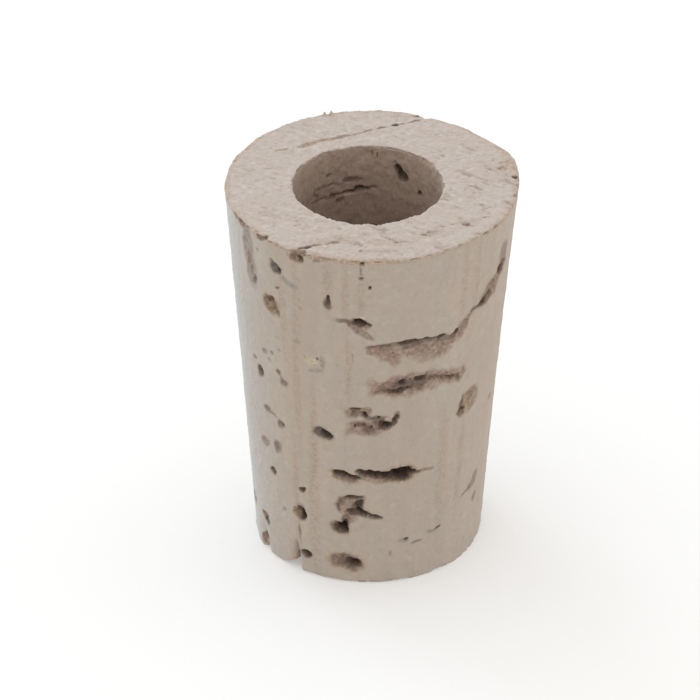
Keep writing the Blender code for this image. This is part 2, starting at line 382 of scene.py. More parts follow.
# Faint veins that run up and down the wall, where the year bands come out.
VEINS = pores(
    ("vein", -38, 21.0, 0.30, 4.0),
    ("vein", -31, 22.5, 0.34, 3.4),
    ("vein", -33, 15.0, 0.28, 5.0),
    ("vein", -36, 6.0, 0.26, 5.0),
    ("vein", -26.5, 5.5, 0.40, 6.0),
    ("vein", -25, 12.0, 0.26, 4.0),
    ("vein", -17, 24.0, 0.40, 2.0),
    ("vein", -10, 23.5, 0.26, 2.6),
    ("vein", -3.5, 23.5, 0.22, 2.4),
    ("vein", -9, 17.5, 0.24, 3.2),
    ("vein", 42, 23.0, 0.24, 3.2),
    ("vein", 49, 22.5, 0.22, 3.4),
    ("vein", 36, 8.0, 0.40, 5.0),
    ("vein", 47, 7.5, 0.30, 4.4),
)
WALL_PORES = (
    VEINS + UPPER_LEFT + UPPER_SLIT + LONG_STREAK + RISING_STREAK + BROAD_STREAK + RIGHT_PIT
    + MIDDLE_CAVITY + DARK_OVAL + LOWER_SLIT + LOW_CAVITY + FOOT_OVAL + LEFT_SIDE + RIGHT_SIDE
)

# Pores of the bore's wall.
BORE_PORES = pores(
    ("bore_dark", 156, 24.7, 0.42, 0.34, 52),
    ("bore_dark", 152, 24.25, 0.50, 0.36, 62),
    ("ochre", 158.5, 25.2, 0.18, 0.16),
    ("ochre", 178, 25.5, 0.10, 0.26),
    ("ochre", 173, 25.5, 0.08, 0.24),
    ("bore_line", 207, 23.6, 2.00, 0.08),
    ("bore_line", 191, 23.8, 0.85, 0.18),
    ("bore_line", 212, 24.35, 0.30, 0.13),
    ("bore_line", 207, 22.75, 2.10, 0.12),
    ("bore_line", 206, 22.8, 0.45, 0.17),
    ("bore_line", 224, 23.2, 0.45, 0.15),
    ("bore_line", 177, 23.1, 0.45, 0.12),
    ("bore_dark", 195, 22.75, 0.42, 0.16),
    ("bore_dark", 185, 22.95, 0.55, 0.14),
    ("bore_line", 202, 22.2, 0.35, 0.18),
    ("bore_dark", 136, 23.35, 0.20, 0.20),
    ("bore_line", 12, 17.0, 1.00, 0.24),
    ("bore_dark", -70, 11.0, 0.55, 0.34),
    ("bore_line", 200, 8.0, 1.20, 0.28),
    ("bore_dark", 110, 4.5, 0.50, 0.34),
)

# Grooves that run up the wall from the foot: azimuth, half width, depth at the foot, height reached.
FOOT_FLUTES = [
    (-61.5, 0.35, 0.18, 3.0),
    (-38.5, 0.30, 0.36, 2.6),
    (-27.0, 0.55, 0.06, 5.0),
]


class Break(NamedTuple):
    """A stretch of the foot's edge that has broken away: highest at its azimuth, and straight down
    to the foot over so many degrees on either side."""

    azimuth: float
    rise: float
    before: float
    after: float


FOOT_BREAKS = [
    Break(-39.5, 0.48, 9.0, 3.0),
    Break(-38.2, 1.60, 3.0, 3.0),
    Break(-62.0, 0.36, 2.0, 3.0),
    Break(14.5, 0.12, 6.0, 5.0),
    Break(43.0, 0.08, 3.0, 4.0),
]
FOOT_BREAK_IN = (2.40, 1.44)  # a break runs in under the foot and fades out between these
FOOT_BREAK_REACH = 3.2  # the wall above a break follows it up to this height
FOOT_UNEVEN = 0.03

# The fresh cork of a break: its stain, how high up the wall it fades out, and from what rise.
BROKEN_CORK = (0.430, 0.305, 0.205)
BROKEN_COVER = 0.8
BROKEN_BAND = (0.60, 0.15)
BROKEN_RISE = (0.1, 0.5)

# Gentle swells and flats of the outline: azimuth, half widths before and after it, change at the rim
# and at the foot.
OUTLINE = [
    (38, 16, 16, -0.20, -0.02),
    (-32, 16, 16, 0.14, 0.02),
    (112, 17, 13, 0.46, 0.00),
    (158, 4, 7, -0.10, 0.00),
    (172, 14, 14, 0.16, 0.00),
    (-85, 22, 22, 0.02, 0.03),
    (-64, 12, 12, 0.00, 0.12),
    (78, 26, 26, 0.00, -0.05),
]

WAIST = 0.06  # how much the wall draws in at half height

# A lenticel lies in the top face, and its crack follows the grain. Its dashes are given by their
# distance from the point over the bore's middle, then half length and half width.
TOP_CRACK_Y = 6.85
TOP_CRACK_ANGLE = GRAIN_ANGLE - 1.5
TOP_CRACK_DASHES = [
    ("hairline", -6.4, 0.60, 0.10),
    ("hairline", -4.5, 0.90, 0.24),
    ("hairline", -3.2, 0.60, 0.22),
    ("scar", -2.2, 0.70, 0.18),
    ("hairline", -1.2, 0.60, 0.14),
    ("crack", -0.3, 0.40, 0.13),
    ("crack", 0.7, 0.40, 0.14),
    ("pit", 1.7, 0.28, 0.15),
    ("scar", 2.2, 0.30, 0.13),
    ("crack", 3.0, 0.50, 0.09),
]

# Other marks of the top face.
TOP_PORES = pores(
    ("vein", -1.9, -6.8, 0.90, 0.45, 8),
    ("vein", -3.6, -7.3, 1.00, 0.40, 15),
    ("vein", 1.4, -7.0, 1.60, 0.40, 4),
    ("vein", 3.8, -6.0, 1.20, 0.50, 20),
    ("vein", 6.2, -4.7, 0.90, 0.45, 15),
    ("vein", 0.4, -8.3, 1.40, 0.35, 2),
    ("vein", 8.6, 2.2, 0.60, 0.90, -20),
    ("splinter", -2.7, 8.85, 0.30, 0.13, 70),
    ("splinter", -3.1, 8.75, 0.20, 0.10, 120),
    ("pit", -4.2, -7.85, 0.46, 0.17, 15),
    ("crack", -3.5, -7.6, 0.45, 0.15, 15),
    ("hairline", -2.9, -7.45, 0.35, 0.08, 15),
    ("crack", -2.3, -7.2, 0.42, 0.14, 8),
    ("pit", -6.8, -6.4, 0.18, 0.10, 45),
    ("fleck", -6.5, 4.5, 0.12, 0.10),
    ("scar", -8.85, 2.7, 0.16, 0.12),
    ("fleck", -6.8, 1.9, 0.40, 0.08, -8),
    ("hairline", -6.5, 0.65, 0.22, 0.05, 6),
    ("hairline", -4.75, -5.0, 0.24, 0.06, 8),
    ("fleck", -5.45, 2.15, 0.14, 0.08),
    ("pit", -0.7, -8.2, 0.08, 0.07),
    ("fleck", 0.2, -8.2, 0.55, 0.07, 4),
    ("crack", 3.1, 8.75, 0.50, 0.17, 14),
    ("slate", 3.4, -6.15, 0.20, 0.09, 15),
    ("hairline", 3.9, -5.8, 0.45, 0.14, 25),
    ("hairline", 4.6, -5.1, 0.40, 0.07, 10),
    ("hairline", 1.9, -7.1, 0.60, 0.07, 6),
    ("crack", 6.1, -4.8, 0.26, 0.15, 6),
    ("scar", 7.35, -4.0, 0.26, 0.08),
    ("pit", 9.3, 1.05, 0.22, 0.22),
    ("scar", 8.6, 2.9, 0.40, 0.10, 25),
    ("scar", 8.4, 2.3, 0.30, 0.08, 20),
    ("fleck", 7.95, 3.2, 0.12, 0.26),
    ("fleck", 4.3, 6.3, 0.20, 0.12),
)

# Chips and worn stretches of the edges: azimuth, height, half width along the edge, reach, half
# height, and how much its face is browned.
CHIPS = [
    (-28.5, 26.25, 0.55, 0.34, 0.40, 0.85),
    (-46.5, 26.25, 0.40, 0.30, 0.34, 0.75),
    (-39.0, 26.25, 0.25, 0.22, 0.18, 0.45),
    (158.0, 26.25, 0.45, 0.30, 0.24, 0.40),
    (131.0, 26.30, 0.35, 0.25, 0.22, 0.30),
    (83.0, 26.30, 0.30, 0.30, 0.30, 0.55),
    (160.0, 0.00, 0.50, 0.45, 0.40, 0.30),
]

# How a pore of any kind is shaped and stained, and how far around it the grid is looked at.
UNDERCUT = 0.28  # hollows in the wall reach up a little behind their upper lip
LENS_BLUNTNESS = 2.5  # an ellipse would have 2
SHELF = 0.25  # how much shallower a pore is at its middle than at its upper edge
STAIN_EDGE = 0.92  # the stain is half faded here, where 1 is the outline
# painted shade: a pore's stain is laid fainter towards its lower edge, so a dark pore is darker along its
# upper side
PAINTED_SHADE_SHELF = 0.12
CRUMB_TONE = 3.0  # how much lighter a high crumb is
PICK_SCALE = 1.3
PICK_MARGIN = 0.5
LEAST_SHARE = 0.02

# Tannin has tanned the cork around the deeper pores.
HALO_TAN = (0.420, 0.312, 0.215)
HALO_DEPTH = 0.19
HALO_REACH = 1.55
HALO_COVER = 0.50

CHIP_BROWN = (0.235, 0.152, 0.112)
CHIP_RAGGED = 0.12
CHIP_BROWN_DEPTH = 0.25  # a chip this deep is fully browned

# The tan line along the upper edge: its colour, and how far down the wall and in over the face it
# fades out.
RIM_TAN = (0.425, 0.302, 0.212)
RIM_TAN_COVER = 0.85
RIM_TAN_DOWN = (0.36, 0.16)
RIM_TAN_IN = (0.42, 0.18)
RIM_TAN_IN_SHARE = 0.6
RIM_TAN_EDGE = (0.12, 0.30)

# The torn wrinkles of the cut faces.
WRINKLE_BROWN = (0.300, 0.222, 0.170)
WRINKLE_COVER = 0.62
WRINKLE_DEPTH = 0.11
WRINKLE_RANGE = (0.25, 0.95)
WRINKLE_LEAST = 0.30
WRINKLE_SIDE = (-0.6, 0.6)
STREAK_ANGLE = -32.0
STREAK_SQUEEZE = (0.45, 1.25, 1.0)

# The side that faces away repeats the CAD's seeded pores.
BACK_COUNT = 16
BACK_AZIMUTHS = (85.0, 285.0)
BACK_SEED = 7
BACK_EDGE = 1.6
BACK_HALF_LENGTH = (0.5, 1.7)
BACK_HALF_HEIGHT = (0.22, 0.60)
BACK_PLUMP = 1.2  # a pore seen end on is this much longer than high
BACK_RIM_SIZE = (1.15, 1.1)  # size of its powdery rim, against the CAD's pore
BACK_CORE_SIZE = (0.75, 0.6)
BACK_CORE_SHIFT = (1.0, 0.1)
BACK_CORE_BOW = 0.05


class Relief(NamedTuple):
    """Unevenness of one size."""

    height: float
    cell: float
    seed: int
    octaves: int = 3
    gain: float = 0.5


WALL_SANDING = [Relief(0.020, 0.90, 41), Relief(0.015, 0.25, 45, 2)]
WALL_RIPPLE = [Relief(0.050, 2.60, 48, 2)]
WALL_STRETCH = (1.0, 1.0, 0.15)  # the ripples run up and down the wall
FACE_STREAKS = [Relief(0.055, 0.60, 51, 4, 0.6)]
FACE_GRIT = [Relief(0.030, 0.28, 55, 2), Relief(0.060, 3.00, 58, 2)]
BORE_GRIT = [Relief(0.045, 0.45, 61, 3, 0.7), Relief(0.030, 2.00, 65, 2)]
WRINKLE_TEARS = Relief(1.0, 0.70, 54, 4, 0.7)
RIM_BLOTCHES = Relief(0.45, 1.10, 81, 2)
RIM_BLOTCH_LEVEL = 0.70
WANDER = [Relief(1.0, 0.80, 11), Relief(1.0, 0.80, 21)]
CRUMBS = Relief(1.0, 0.30, 31, 3, 0.7)

# The rounded edges crumble, and so does the bore's lip.
CRUMBLE = Relief(0.26, 0.50, 71, 3, 0.7)
CRUMBLE_EDGE = (0.05, 0.40)
BITES = Relief(0.16, 0.70, 75, 3, 0.7)
BITE_DOWN = (0.45, 0.05)
BITE_OUT = (0.10, 0.50)


# ----------------------------------------------------------------------
# Noise

LATTICE = 4096
ROUGH_GAIN = 1.6  # brings the sum of several sizes back to about -1 to 1


def lattice_noise(points, cell, seed):
    """Smooth random values between -1 and 1 that vary over about one cell."""
    spot = np.asarray(points, float) / cell
    corner = np.floor(spot).astype(np.int64)
    part = spot - corner
    part = part * part * part * (part * (part * 6 - 15) + 10)
    chance = np.random.default_rng(seed)
    values = chance.uniform(-1, 1, LATTICE)
    shuffled = chance.permutation(LATTICE)
    total = np.zeros(spot.shape[:-1])
    for dx in (0, 1):
        from_x = shuffled[(corner[..., 0] + dx) % LATTICE]
        for dy in (0, 1):
            from_y = shuffled[(from_x + corner[..., 1] + dy) % LATTICE]
            for dz in (0, 1):
                from_z = shuffled[(from_y + corner[..., 2] + dz) % LATTICE]
                weight = np.abs(1 - dx - part[..., 0])
                weight = weight * np.abs(1 - dy - part[..., 1])
                weight = weight * np.abs(1 - dz - part[..., 2])
                total += values[from_z] * weight
    return total


def rough_noise(points, relief):
    """Several sizes of lattice noise added up, times the relief's height."""
    total, size, scale = 0.0, 1.0, 0.0
    for octave in range(relief.octaves):
        total = total + size * lattice_noise(points, relief.cell / 2**octave, relief.seed + octave)
        scale += size
        size *= relief.gain
    return relief.height * (total / scale * ROUGH_GAIN)


def unevenness(points, reliefs):
    return sum(rough_noise(points, relief) for relief in reliefs)


def smooth(value, low, high):
    """0 below low, 1 above high, and a smooth step between."""
    t = np.clip((value - low) / (high - low), 0, 1)
    return t * t * (3 - 2 * t)


def fade(distance, gone_and_full):
    """1 up to the nearer of two distances, and 0 past the farther one, which is given first."""
    gone, full = gone_and_full
    return smooth(-distance, -gone, -full)


def wrap(angle):
    """The same angle in degrees, between -180 and 180."""
    return (angle + 180.0) % 360.0 - 180.0


# ----------------------------------------------------------------------
# The cork's grid


MOUTH_LIMIT = 0.6  # the bore's mouth lies within this share of the wide end's radius
FOOT_LIMIT = 0.3  # the narrow end's edge lies below this height
TOUCH = 0.01  # a point this close to an end face is on it

# How far up or down the grid's normal points where a side turns into an end face.
END_TURN = (0.1, 0.9)
FOOT_TURN = (0.3, 0.8)


class Sizes(NamedTuple):
    """What the frame says about the sleeve."""

    height: float
    rim_radius: float
    foot_radius: float
    bore_radius: float
    bore_x: float
    bore_y: float


def frame_sizes():
    """Measures the CAD sleeve: its height, its two ends and its bore."""
    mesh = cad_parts[CAD_NODE].data
    points = np.zeros(len(mesh.vertices) * 3)
    mesh.vertices.foreach_get("co", points)
    points = points.reshape(-1, 3) / MM
    height = float(points[:, 2].max())
    radius = np.hypot(points[:, 0], points[:, 1])
    on_top = points[:, 2] > height - TOUCH
    mouth = points[on_top & (radius < radius.max() * MOUTH_LIMIT)]
    low, high = mouth.min(axis=0), mouth.max(axis=0)
    foot = radius[points[:, 2] < FOOT_LIMIT].max()
    return Sizes(
        height=height,
        rim_radius=float(radius.max()),
        foot_radius=float(foot),
        bore_radius=float(high[0] - low[0]) / 2,
        bore_x=float(high[0] + low[0]) / 2,
        bore_y=float(high[1] + low[1]) / 2,
    )


def profile(sizes):
    """Rows of the closed profile, as columns of an array: height, share of the way from the outer
    edge to the bore, inset from the outer edge, and inset from the bore's edge."""
    top = sizes.height
    rows = []
    for height in np.linspace(FOOT_ROUND, top - RIM_ROUND, WALL_ROWS):
        rows.append((height, 0, 0, 0))
    for turn in np.linspace(0, math.pi / 2, RIM_ROWS + 2)[1:-1]:
        height = top - RIM_ROUND * (1 - math.sin(turn))
        rows.append((height, 0, RIM_ROUND * (1 - math.cos(turn)), 0))
    for share in np.linspace(0, 1, FACE_ROWS):
        rows.append((top, share, RIM_ROUND, LIP_ROUND))
    for turn in np.linspace(math.pi / 2, 0, LIP_ROWS + 2)[1:-1]:
        height = top - LIP_ROUND * (1 - math.sin(turn))
        rows.append((height, 1, 0, LIP_ROUND * (1 - math.cos(turn))))
    for step in np.linspace(0, 1, BORE_ROWS):
        depth = (math.exp(BORE_ROW_GROWTH * step) - 1) / (math.exp(BORE_ROW_GROWTH) - 1)
        depth = BORE_EVEN_SHARE * step + (1 - BORE_EVEN_SHARE) * depth
        rows.append((top - LIP_ROUND - depth * (top - 2 * LIP_ROUND), 1, 0, 0))
    for turn in np.linspace(0, math.pi / 2, LIP_ROWS + 2)[1:-1]:
        height = LIP_ROUND * (1 - math.sin(turn))
        rows.append((height, 1, 0, LIP_ROUND * (1 - math.cos(turn))))
    for share in np.linspace(1, 0, FOOT_FACE_ROWS):
        rows.append((0, share, FOOT_ROUND, LIP_ROUND))
    for turn in np.linspace(math.pi / 2, 0, RIM_ROWS + 2)[1:-1]:
        height = FOOT_ROUND * (1 - math.sin(turn))
        rows.append((height, 0, FOOT_ROUND * (1 - math.cos(turn)), 0))
    return np.array(rows, float)


class Skin:
    """The grid's points, with what moves them and what stains them."""

    def __init__(self, sizes):
        rows = profile(sizes)
        self.sizes = sizes
        self.height = np.repeat(rows[:, :1], COLUMNS, axis=1)
        self.share = np.repeat(rows[:, 1:2], COLUMNS, axis=1)
        around = np.arange(COLUMNS) * 360.0 / COLUMNS - 180.0
        self.azimuth = np.repeat(around[None, :], len(rows), axis=0)
        angle = np.radians(self.azimuth)
        self.outward = np.stack([np.sin(angle), -np.cos(angle), np.zeros_like(angle)], axis=-1)
        outer = self.wall_radius() - rows[:, 2:3]
        inner = sizes.bore_radius + rows[:, 3:4]
        centre = np.array([sizes.bore_x, sizes.bore_y, 0.0])
        share = self.share[..., None]
        self.base = (1 - share) * self.outward * outer[..., None]
        self.base += share * (centre + self.outward * inner[..., None])
        self.base[..., 2] = self.height
        self.normal = grid_normals(self.base)
        self.shift = np.zeros_like(self.base)
        self.stain = np.zeros(self.base.shape[:-1] + (4,))
        up = self.normal[..., 2]
        upright = 1 - smooth(np.abs(up), *END_TURN)
        self.outside = self.share < 0.5
        self.on_wall = upright * self.outside
        self.on_bore = upright * ~self.outside
        self.on_top = smooth(up, *END_TURN) * (self.height > sizes.height / 2)
        self.on_foot = smooth(-up, *FOOT_TURN) * (self.height < sizes.height / 2)
        # painted cool rim light: the share of the left side's wall that is painted cooler and paler
        turn = np.abs(wrap(self.azimuth - RIM_LIGHT_PAINT_AZIMUTH))
        faded = smooth(RIM_LIGHT_PAINT_REACH - turn, 0.0, RIM_LIGHT_PAINT_FADE)
        self.painted_rim_light = self.on_wall * RIM_LIGHT_PAINT_SHARE * faded
        self.wander = np.stack([rough_noise(self.base, relief) for relief in WANDER], axis=-1)
        self.crumbs = rough_noise(self.base, CRUMBS)

    def wall_radius(self):
        """Radius of the wall at each point: a cone, with the outline's gentle swells."""
        sizes = self.sizes
        rise = self.height / sizes.height
        radius = sizes.foot_radius + (sizes.rim_radius - sizes.foot_radius) * rise
        for azimuth, before, after, at_rim, at_foot in OUTLINE:
            turn = wrap(self.azimuth - azimuth)
            bell = np.exp(-((turn / np.where(turn < 0, before, after)) ** 2))
            radius = radius + bell * (at_foot + (at_rim - at_foot) * rise**2)
        return radius - WAIST * np.sin(np.pi * rise)


def grid_normals(points):
    """Unit normals of a grid that is closed both ways."""
    along = np.roll(points, -1, axis=1) - np.roll(points, 1, axis=1)
    up = np.roll(points, -1, axis=0) - np.roll(points, 1, axis=0)
    normal = np.cross(along, up)
    return normal / np.linalg.norm(normal, axis=-1, keepdims=True)


# ----------------------------------------------------------------------
# Blemishes

EVERYWHERE = ...  # picks the whole grid


def lens_reach(across, along, pore):
    """How far each spot is from a pore's middle: 0 there and 1 on its outline. Also how far it lies
    above the pore's centre line, on the same scale."""
    tilt = math.radians(pore.tilt)
    share = (across * math.cos(tilt) + along * math.sin(tilt)) / pore.half_length
    rise = along * math.cos(tilt) - across * math.sin(tilt)
    rise = rise - pore.bow * (1 - share**2)
    above = rise / pore.half_height
    return np.sqrt(np.abs(share) ** LENS_BLUNTNESS + above**2), above


def mark(skin, where, kind, reach, above, inward):
    """Sinks and stains the picked spots by their reach from the middle of a pore of this kind. A pore
    shelves up towards its lower edge, and its stain fades a little towards that edge, which paints shade
    along the upper side of a dark pore."""
    above = np.clip(above, -1, 1)
    inside = smooth(1.0 - reach, 0.0, kind.bank) * (1 - SHELF + SHELF * above)
    floor = kind.depth * inside + kind.crumb * inside * skin.crumbs[where]
    skin.shift[where] += inward * floor[..., None]
    cover = smooth(STAIN_EDGE + kind.soft / 2 - reach, 0.0, kind.soft) * kind.cover
    # painted shade along the pore's upper side
    cover = cover * (1 - PAINTED_SHADE_SHELF + PAINTED_SHADE_SHELF * above)
    tone = 1 + CRUMB_TONE * kind.crumb * skin.crumbs[where]
    lay(skin, where, cover, tone[..., None] * np.array(kind.colour))


def lay(skin, where, cover, colour):
    """Lays a stain over what is on the picked spots, keeping colours multiplied by their cover."""
    layer = skin.stain[where]
    layer *= 1 - cover[..., None]
    layer[..., :3] += cover[..., None] * np.array(colour)
    layer[..., 3] += cover
    skin.stain[where] = layer


def wall_spots(skin, pore, radius, on_part):
    """The spots of a wall near a pore, with their reach from its middle."""
    size = PICK_SCALE * max(pore.half_length, pore.half_height) + PICK_MARGIN
    across = np.radians(wrap(skin.azimuth - pore.x)) * radius
    along = skin.height - pore.y
    where = (np.abs(across) < size) & (np.abs(along) < size) & (on_part > LEAST_SHARE)
    wander = skin.wander[where] * KINDS[pore.kind].ragged
    reach, above = lens_reach(across[where] + wander[:, 0], along[where] + wander[:, 1], pore)
    return where, reach, above


def mark_wall(skin, marks, radius, on_part, undercut):
    """Marks pores given by azimuth and height on the wall or on the bore's wall. The halos of the
    deeper ones are laid first, so that none lies over a pore."""
    for pore in marks:
        if KINDS[pore.kind].depth > HALO_DEPTH:
            where, reach, _ = wall_spots(skin, pore, radius, on_part)
            lay(skin, where, smooth(HALO_REACH - reach, 0.0, HALO_REACH - 1) * HALO_COVER, HALO_TAN)
    for pore in marks:
        kind = KINDS[pore.kind]
        where, reach, above = wall_spots(skin, pore, radius, on_part)
        inward = -skin.normal[where]
        inward[:, 2] += undercut * kind.depth * on_part[where]
        mark(skin, where, kind, reach, above, inward)


def mark_top(skin, marks):
    """Marks pores given by X and Y on the top face, where a pore has no lower side to shelve up."""
    where = skin.on_top > LEAST_SHARE
    for pore in marks:
        kind = KINDS[pore.kind]
        wander = skin.wander[where] * kind.ragged
        across = skin.base[where][:, 0] - pore.x + wander[:, 0]
        along = skin.base[where][:, 1] - pore.y + wander[:, 1]
        reach, _ = lens_reach(across, along, pore)
        mark(skin, where, kind, reach, np.zeros_like(reach), -skin.normal[where])


def top_crack():
    """The dashes of the crack in the top face, laid along its line."""
    angle = math.radians(TOP_CRACK_ANGLE)
    dashes = []
    for kind, distance, half_length, half_width in TOP_CRACK_DASHES:
        x = distance * math.cos(angle)
        y = TOP_CRACK_Y + distance * math.sin(angle)
        dashes.append(Pore(kind, x, y, half_length, half_width, TOP_CRACK_ANGLE))
    return dashes


def back_pores():
    """The CAD's seeded pores of the far side, which lengthen along the grain."""
    chance = random.Random(BACK_SEED)
    found = []
    for number in range(BACK_COUNT):
        azimuth = chance.uniform(*BACK_AZIMUTHS)
        height = chance.uniform(BACK_EDGE, cad_height() - BACK_EDGE)
        thickness = chance.uniform(*BACK_HALF_HEIGHT)
        length = chance.uniform(*BACK_HALF_LENGTH)
        along = abs(math.cos(math.radians(azimuth - GRAIN_ANGLE)))
        half = math.hypot(length * along, BACK_PLUMP * thickness * math.sqrt(1 - along**2))
        wide, high = BACK_RIM_SIZE
        found.append(Pore("powder", azimuth, height, wide * half, high * thickness))
        kind = ("hollow", "pit", "soft_pit")[number % 3]
        x, y = azimuth + BACK_CORE_SHIFT[0], height + BACK_CORE_SHIFT[1]
        wide, high = BACK_CORE_SIZE
        found.append(Pore(kind, x, y, wide * half, high * thickness, bow=BACK_CORE_BOW))
    return found


def cad_height():
    return (CAD_BOX[1].z - CAD_BOX[0].z) / MM


def cut_flutes(skin):
    """Presses the shallow grooves into the wall above the foot."""
    for azimuth, width, depth, reach in FOOT_FLUTES:
        across = np.radians(wrap(skin.azimuth - azimuth)) * skin.sizes.foot_radius
        bell = np.exp(-((across / width) ** 2)) * (1 - smooth(skin.height, 0, reach))
        skin.shift -= skin.outward * (bell * skin.outside * depth)[..., None]


def lift_foot(skin):
    """Raises the foot's outer edge where it has broken away, and tints the broken edge."""
    rise = np.zeros_like(skin.azimuth)
    for gap in FOOT_BREAKS:
        turn = wrap(skin.azimuth - gap.azimuth)
        run = np.where(turn < 0, gap.before, gap.after)
        rise = np.maximum(rise, gap.rise * np.clip(1 - np.abs(turn) / run, 0, 1))
    rise = rise + FOOT_UNEVEN * (1 + skin.wander[..., 0])
    outer = np.hypot(skin.base[..., 0], skin.base[..., 1])
    edge = skin.sizes.foot_radius
    near_edge = fade(edge - outer, FOOT_BREAK_IN)
    low_wall = 1 - smooth(skin.height, 0, FOOT_BREAK_REACH)
    weight = np.where(skin.height < TOUCH, near_edge, low_wall * skin.outside)
    skin.shift[..., 2] += rise * weight
    low_band = fade(skin.height, BROKEN_BAND) * skin.on_wall
    lay(skin, EVERYWHERE, low_band * smooth(rise, *BROKEN_RISE) * BROKEN_COVER, BROKEN_CORK)


def break_edges(skin):
    """Pushes the points inside each chip's egg straight to the egg's far side, which the root of a
    quadratic gives."""
    sizes = skin.sizes
    for azimuth, height, width, reach, thickness, browned in CHIPS:
        rise = min(max(height / sizes.height, 0), 1)
        radius = sizes.foot_radius + (sizes.rim_radius - sizes.foot_radius) * rise
        angle = math.radians(azimuth)
        out = np.array([math.sin(angle), -math.cos(angle), 0.0])
        side = np.array([math.cos(angle), math.sin(angle), 0.0])
        down = np.array([0, 0, -1.0 if height > sizes.height / 2 else 1.0])
        egg_axes = np.stack([side / width, out / reach, down / thickness])
        move = (down - out) / math.sqrt(2)
        centre = out * radius + np.array([0, 0, height])
        ragged = skin.wander[..., :1] * CHIP_RAGGED
        local = (skin.base + ragged - centre) @ egg_axes.T
        step = egg_axes @ move
        a = float(step @ step)
        b = local @ step
        c = (local**2).sum(axis=-1) - 1
        inside = (c < 0) & skin.outside
        travel = np.where(inside, (-b + np.sqrt(np.maximum(b * b - a * c, 0))) / a, 0)
        skin.shift += travel[..., None] * move
        lay(skin, EVERYWHERE, smooth(travel, 0.0, CHIP_BROWN_DEPTH) * browned, CHIP_BROWN)


def roughen(skin):
    """The sanded wall, the knife-cut end faces and the drilled bore."""
    base = skin.base
    wall = unevenness(base, WALL_SANDING) + unevenness(base * np.array(WALL_STRETCH), WALL_RIPPLE)
    face = unevenness(base @ streak_axes(), FACE_STREAKS) - WRINKLE_DEPTH * wrinkles(skin)
    face = face + unevenness(base, FACE_GRIT)
    bore = unevenness(base, BORE_GRIT)
    height = wall * skin.on_wall + face * (skin.on_top + skin.on_foot) + bore * skin.on_bore
    skin.shift += skin.normal * height[..., None]


def crumble_edges(skin):
    """Wears the rounded edges down in places, and bites the bore's lip away outwards."""
    edge = 1 - np.maximum.reduce([skin.on_wall, skin.on_top, skin.on_bore, skin.on_foot])
    crumble = np.maximum(rough_noise(skin.base, CRUMBLE), 0)
    skin.shift -= skin.normal * (crumble * smooth(edge, *CRUMBLE_EDGE))[..., None]
    sizes = skin.sizes
    inner = np.hypot(skin.base[..., 0] - sizes.bore_x, skin.base[..., 1] - sizes.bore_y)
    near_lip = fade(sizes.height - skin.height, BITE_DOWN)
    near_lip = near_lip * (1 - smooth(inner - sizes.bore_radius, *BITE_OUT))
    bites = np.maximum(rough_noise(skin.outward * inner[..., None], BITES), 0)
    skin.shift += skin.outward * (bites * near_lip)[..., None]


def wrinkles(skin):
    """Where the knife has torn the end faces: more of them on the front half and on the right."""
    tear = rough_noise(skin.base @ streak_axes(), WRINKLE_TEARS)
    ahead = (skin.base[..., 0] - skin.base[..., 1]) / skin.sizes.rim_radius
    return smooth(tear, *WRINKLE_RANGE) * (
        WRINKLE_LEAST + (1 - WRINKLE_LEAST) * smooth(ahead, *WRINKLE_SIDE)
    )


def streak_axes():
    """Squeezes space so that noise runs in short wrinkles across the knife's path."""
    angle = math.radians(STREAK_ANGLE)
    turn = np.array(
        [[math.cos(angle), -math.sin(angle), 0], [math.sin(angle), math.cos(angle), 0], [0, 0, 1]]
    )
    return turn @ np.diag(STREAK_SQUEEZE)


def warm_rims(skin):
    """The thin tan line along the upper edge, and the dirt in the cut face's wrinkles."""
    sizes = skin.sizes
    edge = 1 - np.maximum(skin.on_wall, np.maximum(skin.on_top, skin.on_bore))
    below = fade(sizes.height - skin.height, RIM_TAN_DOWN) * skin.on_wall
    outer = np.hypot(skin.base[..., 0], skin.base[..., 1])
    inside = fade(sizes.rim_radius - outer, RIM_TAN_IN) * skin.on_top
    band = np.maximum.reduce([smooth(edge, *RIM_TAN_EDGE), below, RIM_TAN_IN_SHARE * inside])
    band = band * skin.outside * (skin.height > sizes.height / 2)
    blotch = RIM_BLOTCH_LEVEL + rough_noise(skin.base, RIM_BLOTCHES)
    lay(skin, EVERYWHERE, np.clip(band * blotch, 0, 1) * RIM_TAN_COVER, RIM_TAN)
    lay(skin, EVERYWHERE, wrinkles(skin) * skin.on_top * WRINKLE_COVER, WRINKLE_BROWN)


def build_skin(sizes):
    """The cork's grid with all of its marks. Later stains lie over earlier ones."""
    skin = Skin(sizes)
    outer = np.hypot(skin.base[..., 0], skin.base[..., 1])
    inner = np.full(outer.shape, sizes.bore_radius)
    warm_rims(skin)
    mark_wall(skin, back_pores(), outer, skin.on_wall, UNDERCUT)
    mark_wall(skin, WALL_PORES, outer, skin.on_wall, UNDERCUT)
    mark_wall(skin, BORE_PORES, inner, skin.on_bore, 0.0)
    mark_top(skin, top_crack() + TOP_PORES)
    cut_flutes(skin)
    lift_foot(skin)
    break_edges(skin)
    roughen(skin)
    crumble_edges(skin)
    return skin


